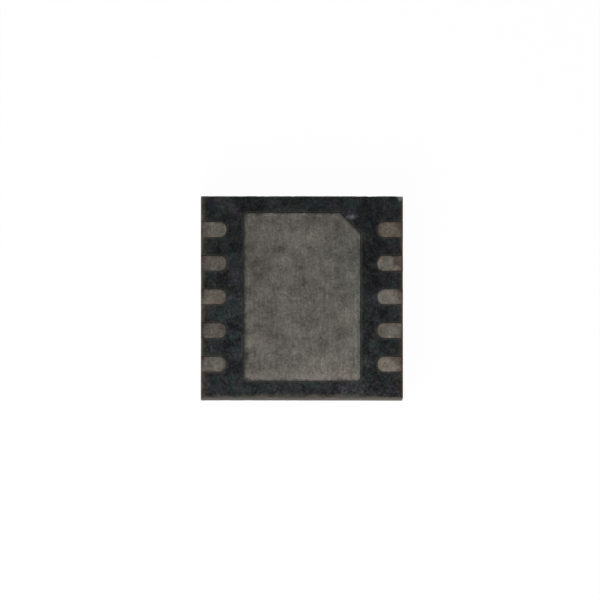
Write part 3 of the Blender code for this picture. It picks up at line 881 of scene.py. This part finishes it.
def plated_colour(tree, place, base):
    """Dull tin plate: cloudy, vertically streaked and finely speckled. Its colour and relief."""
    grain = use_effect(tree, "grain", place=place, size=0.036, depth=0.17, speck_share=0.12)
    clouds = use_effect(tree, "mottle", place=place, size=0.4, fineness=5.0, depth=0.76)
    streaks = use_effect(tree, "streaks", place=place, width=0.036, length=0.16, depth=0.14)
    tint = use_effect(tree, "tint", place=place, size=0.24, depth=0.3, **PLATE_STAINS)
    colour = tinted(tree, base, tint["Factor"])
    for tone in (grain["Tone"], clouds["Tone"], streaks["Tone"]):
        colour = scaled(tree, colour, tone)
    bright = tinted(tree, colour, SPECK_BRIGHTER)
    colour = lay_over(tree, times(tree, grain["Specks"], 0.7), colour, bright)
    for angle, rarity, length in HAIRS:
        hairs = turned(tree, place, angle)
        mask = use_effect(
            tree, "scratches", place=hairs, width=0.014, length=length, rarity=rarity
        )["Mask"]
        colour = lay_over(tree, times(tree, mask, 0.5), colour, bright)
    relief = reckon(tree, "ADD", grain["Height"], streaks["Height"])
    return colour, relief, grain["Height"]


def copper_ends(tree, place, colour):
    """Bare copper where the saw cut through the leadframe, smeared along the cut."""
    away = axes(tree, vector_step(tree, "ABSOLUTE", place))
    reach = reckon(tree, "MAXIMUM", away["X"], away["Y"])
    below = fade(tree, away["Z"], *CUT_END_RIM)
    bare = times(tree, fade(tree, reach, *CUT_END), below)
    grain = use_effect(tree, "grain", place=place, size=0.02, depth=0.25, speck_share=0.0)
    lines = saw_lines(tree, place, 0.25)
    copper = scaled(tree, scaled(tree, BARE_COPPER, grain["Tone"]), lines["Tone"])
    copper = lay_over(tree, fade(tree, away["X"], *TIE_BARS), copper, SMEARED_COPPER)
    return lay_over(tree, bare, colour, copper)


def finish_plated(tree, shader, colour, relief, grain_height, resin):
    """Lays resin over a plated piece's colour and sends its finish to its shader."""
    colour = lay_over(tree, resin, colour, CREPT_RESIN)
    metallic = fade(tree, resin, *METAL_UNDER_RESIN)
    rough = (grain_height, 0.22, 0.46)
    dress(tree, shader, colour, rough, relief, 0.0016, metallic, 0.1)


def make_paddle_material():
    """The paddle's tin plate, with its own marks, a brighter lower end and a bright right side."""
    material, tree, shader, place = new_material("paddle_plate_finish")
    colour, relief, grain_height = plated_colour(tree, place, PADDLE_TIN)
    own = axes(tree, place)
    wander = cloudy(tree, place, 5.0, 3.0)
    lower = fade(tree, reckon(tree, "MULTIPLY_ADD", wander, 0.35, own["Y"]), *BRIGHT_BAND)
    colour = lay_over(tree, lower, colour, tinted(tree, colour, BAND_BRIGHTER))
    line = reckon(tree, "MULTIPLY_ADD", wander, 0.03, own["X"])
    line = reckon(tree, "ABSOLUTE", reckon(tree, "SUBTRACT", line, BRIGHT_LINE_X))
    line = fade(tree, line, *BRIGHT_LINE)
    line = times(tree, line, fade(tree, own["Y"], *BRIGHT_LINE_UPWARD))
    colour = lay_over(tree, line, colour, tinted(tree, colour, LINE_BRIGHTER))
    colour = put_marks(tree, place, colour, PADDLE_MARKS)
    box = use_effect(
        tree,
        "outline",
        place=vector_step(tree, "SUBTRACT", place, (PADDLE_CREEP_SIDE, 0.0, 0.0)),
        half_size=PADDLE_BOX,
        radius=PADDLE_RADIUS + 0.035,
        creep=0.022,
        softness=0.034,
    )
    cut_rim = reckon(tree, "MULTIPLY_ADD", wander, -0.03, cut_depth(tree, place))
    cut_rim = fade(tree, cut_rim, *RESIN_ON_CUT)
    resin = times(tree, reckon(tree, "MAXIMUM", box["Resin"], cut_rim), 0.88)
    for spot in RESIN_SPOTS:
        resin = reckon(tree, "MAXIMUM", resin, one_mark(tree, place, *spot))
    resin = times(tree, resin, fade(tree, own["Z"], *ON_LAND))
    colour = copper_ends(tree, place, colour)
    finish_plated(tree, shader, colour, relief, grain_height, resin)
    return material


def make_land_material():
    """The small lands' tin plate: its look from each land's values, copper showing at its rim."""
    material, tree, shader, place = new_material("land_plate_finish")
    colour, relief, grain_height = plated_colour(tree, place, LAND_TIN)
    colour = scaled(tree, colour, kept_value(tree, "brightness"))
    colour = lay_over(tree, kept_value(tree, "warmth"), colour, tinted(tree, colour, WARMER))
    own = axes(tree, place)
    along = reckon(tree, "ABSOLUTE", own["X"])
    centred = land_place(tree, place)
    clear = put(tree, "CombineXYZ", {"X": kept_value(tree, "clear")}).outputs[0]
    rim = use_effect(
        tree,
        "outline",
        place=vector_step(tree, "ADD", centred, clear),
        half_size=LAND_BOX,
        radius=LAND_HALF_WIDTH,
        creep=0.003,
        softness=0.024,
    )
    patches = fade(tree, cloudy(tree, place, 6.0, 3.0), *ROSY_PATCHES)
    rosy = times(tree, fade(tree, rim["Depth"], *ROSY_RIM), patches)
    colour = lay_over(tree, times(tree, rosy, 0.7), colour, tinted(tree, colour, ROSIER))
    outward = fade(tree, along, *LAND_OUTWARD)
    outward = reckon(tree, "MULTIPLY_ADD", kept_value(tree, "blush"), 0.55, outward)
    outward = reckon(tree, "MULTIPLY_ADD", axes(tree, centred)["Y"], 2.4, outward)
    ragged = cloudy(tree, place, 13.0, 4.0, 0.65)
    outward = reckon(tree, "MULTIPLY_ADD", ragged, 2.0, outward)
    blush = fade(tree, outward, *BLUSH_EDGE)
    colour = lay_over(tree, blush, colour, tinted(tree, colour, BLUSHED))
    colour = scaled(tree, colour, fade(tree, along, *LAND_END_SHADE))
    resin = times(tree, times(tree, rim["Resin"], 0.65), fade(tree, own["Z"], *ON_LAND))
    colour = copper_ends(tree, place, colour)
    finish_plated(tree, shader, colour, relief, grain_height, resin)
    return material


def make_silver_epoxy_material():
    """Die attach: silver flakes in pale epoxy."""
    material, tree, shader, place = new_material("silver_epoxy_finish")
    flakes = use_effect(tree, "grain", place=place, size=0.012, depth=0.3, speck_share=0.35)
    clouds = use_effect(tree, "mottle", place=place, size=0.15, fineness=3.0, depth=0.15)
    colour = scaled(tree, scaled(tree, SILVER_EPOXY, flakes["Tone"]), clouds["Tone"])
    colour = lay_over(tree, flakes["Specks"], colour, SILVER_FLAKES)
    metallic = fade(tree, flakes["Specks"], 0.0, 1.0, 0.5, 0.95)
    rough = (flakes["Height"], 0.3, 0.35)
    dress(tree, shader, colour, rough, flakes["Height"], 0.003, metallic)
    return material


def make_silicon_material():
    """The chip: dark glassy silicon with blocks of fine wiring under glass on its lower face."""
    material, tree, shader, place = new_material("silicon_finish")
    sockets = {"Vector": place, "Scale": 3.2, "Randomness": 0.7}
    blocks = put(tree, "TexVoronoi", sockets, distance="CHEBYCHEV")
    shades = put(tree, "SeparateColor", {"Color": blocks.outputs["Color"]}).outputs
    rows = use_effect(tree, "streaks", place=place, width=0.008, length=0.2, depth=0.25)
    film = use_effect(tree, "tint", place=place, size=0.5, depth=1.0, **FILM_STAINS)
    colour = tinted(tree, SILICON, film["Factor"])
    colour = scaled(tree, colour, fade(tree, shades["Red"], 0.0, 1.0, 0.75, 1.35))
    colour = scaled(tree, colour, rows["Tone"])
    metallic = fade(tree, shades["Green"], 0.2, 0.9, 0.25, 0.55)
    rough = (rows["Height"], 0.15, 0.12)
    dress(tree, shader, colour, rough, rows["Height"], 0.0005, metallic)
    return material


def make_gold_material():
    """Drawn gold wire with its fine drawing lines."""
    material, tree, shader, place = new_material("gold_wire_finish")
    drawn = rolled(tree, place, 0.0, 90.0)
    lines = use_effect(tree, "streaks", place=drawn, width=0.004, length=0.3, depth=0.08)
    clouds = use_effect(tree, "mottle", place=place, size=0.05, fineness=2.0, depth=0.06)
    colour = scaled(tree, scaled(tree, GOLD, lines["Tone"]), clouds["Tone"])
    rough = (lines["Height"], 0.2, 0.15)
    dress(tree, shader, colour, rough, lines["Height"], 0.0004, 1.0)
    return material


def seen_rays(tree):
    """1 for rays that show the backdrop: to the camera, off gloss and through clear things."""
    path = put(tree, "LightPath").outputs
    seen = reckon(tree, "MAXIMUM", path["Is Camera Ray"], path["Is Glossy Ray"])
    return reckon(tree, "MAXIMUM", seen, path["Is Transmission Ray"])


# The floor, in metres, and how much of it shines by itself.
FLOOR_SIZE = 0.6
FLOOR_DROP = -0.000002
FLOOR_GLOW = 0.97


def make_floor():
    """A plain white floor that keeps a faint shadow of the part."""
    material, tree, shader, _ = new_material("white_floor")
    shader.inputs["Base Color"].default_value = FLOOR_WHITE
    shader.inputs["Roughness"].default_value = 0.9
    shader.inputs["Specular IOR Level"].default_value = 0.0
    glow = put(tree, "Emission", {"Color": WHITE, "Strength": 1.0})
    mixed = put(tree, "MixShader", {"Fac": times(tree, seen_rays(tree), FLOOR_GLOW)})
    tree.links.new(shader.outputs["BSDF"], mixed.inputs[1])
    tree.links.new(glow.outputs["Emission"], mixed.inputs[2])
    output = next(node for node in tree.nodes if node.type == "OUTPUT_MATERIAL")
    tree.links.new(mixed.outputs["Shader"], output.inputs["Surface"])
    bm = bmesh.new()
    bmesh.ops.create_grid(bm, x_segments=1, y_segments=1, size=FLOOR_SIZE / 2)
    bmesh.ops.translate(bm, vec=(0.0, 0.0, FLOOR_DROP), verts=bm.verts)
    mesh = bpy.data.meshes.new("floor")
    bm.to_mesh(mesh)
    bm.free()
    mesh.materials.append(material)
    floor = bpy.data.objects.new("floor", mesh)
    bpy.context.scene.collection.objects.link(floor)


# The lamps, in metres: name, place and milliwatts.
SKY_STRENGTH = 0.5
LAMP_SIZE = 0.012
LAMPS = (
    ("window_lamp", (-0.005, -0.009, 0.012), 2.2),
    ("fill_lamp", (0.014, 0.012, 0.024), 0.2),
)


def make_lights():
    """An even white room, one broad lamp from the lower left and a weak one across from it."""
    world = bpy.data.worlds.new("studio")
    bpy.context.scene.world = world
    world.use_nodes = True
    tree = world.node_tree
    tree.nodes.clear()
    room = put(tree, "Background", {"Color": ROOM_WHITE, "Strength": SKY_STRENGTH})
    backdrop = put(tree, "Background", {"Color": WHITE, "Strength": 1.0})
    mixed = put(tree, "MixShader", {"Fac": seen_rays(tree)})
    tree.links.new(room.outputs["Background"], mixed.inputs[1])
    tree.links.new(backdrop.outputs["Background"], mixed.inputs[2])
    output = put(tree, "OutputWorld")
    tree.links.new(mixed.outputs["Shader"], output.inputs["Surface"])
    aim = Vector((0.0, 0.0, HEIGHT / TO_MM))
    for name, place, milliwatts in LAMPS:
        lamp = bpy.data.lights.new(name, "AREA")
        lamp.shape = "SQUARE"
        lamp.size = LAMP_SIZE
        lamp.energy = milliwatts / TO_MM
        holder = bpy.data.objects.new(name, lamp)
        holder.location = place
        holder.rotation_mode = "QUATERNION"
        holder.rotation_quaternion = (aim - Vector(place)).to_track_quat("-Z", "Y")
        bpy.context.scene.collection.objects.link(holder)


# The view, from metres away. The part's middle shows at PART_PIXEL, counted from the upper left.
CAMERA_DISTANCE = 0.2
CAMERA_LEAN_X = math.radians(-0.3)
CAMERA_LEAN_Y = math.radians(-4.0)
PIXELS_PER_MM = 67.4
IMAGE_SIDE = 600
PART_PIXEL = (301.9, 296.8)


def make_camera():
    """Looks almost straight down on the lands, from a little to the left of and below the part."""
    lens = bpy.data.cameras.new("camera")
    lens.clip_start = 0.0001
    lens.clip_end = 5.0
    frame_width = IMAGE_SIDE / PIXELS_PER_MM / TO_MM
    lens.lens = lens.sensor_width * CAMERA_DISTANCE / frame_width
    back = Vector((math.sin(CAMERA_LEAN_X), math.sin(CAMERA_LEAN_Y), 1.0)).normalized()
    right = Vector((0.0, 1.0, 0.0)).cross(back).normalized()
    upward = back.cross(right)
    aside = (IMAGE_SIDE / 2 - PART_PIXEL[0]) / PIXELS_PER_MM / TO_MM
    above = (PART_PIXEL[1] - IMAGE_SIDE / 2) / PIXELS_PER_MM / TO_MM
    aim = Vector((0.0, 0.0, HEIGHT / TO_MM)) + right * aside + upward * above
    camera = bpy.data.objects.new("camera", lens)
    camera.matrix_world = Matrix.Translation(aim + back * CAMERA_DISTANCE) @ (
        Matrix((right, upward, back)).transposed().to_4x4()
    )
    bpy.context.scene.collection.objects.link(camera)
    bpy.context.scene.camera = camera


EFFECTS = {
    "mottle": make_mottle(),
    "grain": make_grain(),
    "tint": make_tint(),
    "streaks": make_streaks(),
    "scratches": make_scratches(),
    "mark": make_mark(),
    "edge_wear": make_box_wear(),
    "outline": make_outline(),
}


def main():
    """Makes every piece and finish, the stage, the lights and the camera."""
    bpy.context.scene.view_settings.view_transform = "Standard"
    make_body(make_mould_material())
    make_plated("plated_paddle", "die_paddle", make_paddle_material(), PADDLE_PITS)
    land_material = make_land_material()
    for number in LAND_NUMBERS:
        land = make_plated(f"plated_land_{number}", f"lead_{number}", land_material)
        for name, values in LAND_VALUES.items():
            write_values(land, name, values[number - 1])
    finishes = {
        "die_attach": make_silver_epoxy_material(),
        "silicon_die": make_silicon_material(),
    }
    gold = make_gold_material()
    finishes.update({f"wire_{number}": gold for number in LAND_NUMBERS})
    for node, material in finishes.items():
        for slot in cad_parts[node].material_slots:
            slot.material = material
    make_floor()
    make_lights()
    make_camera()


main()
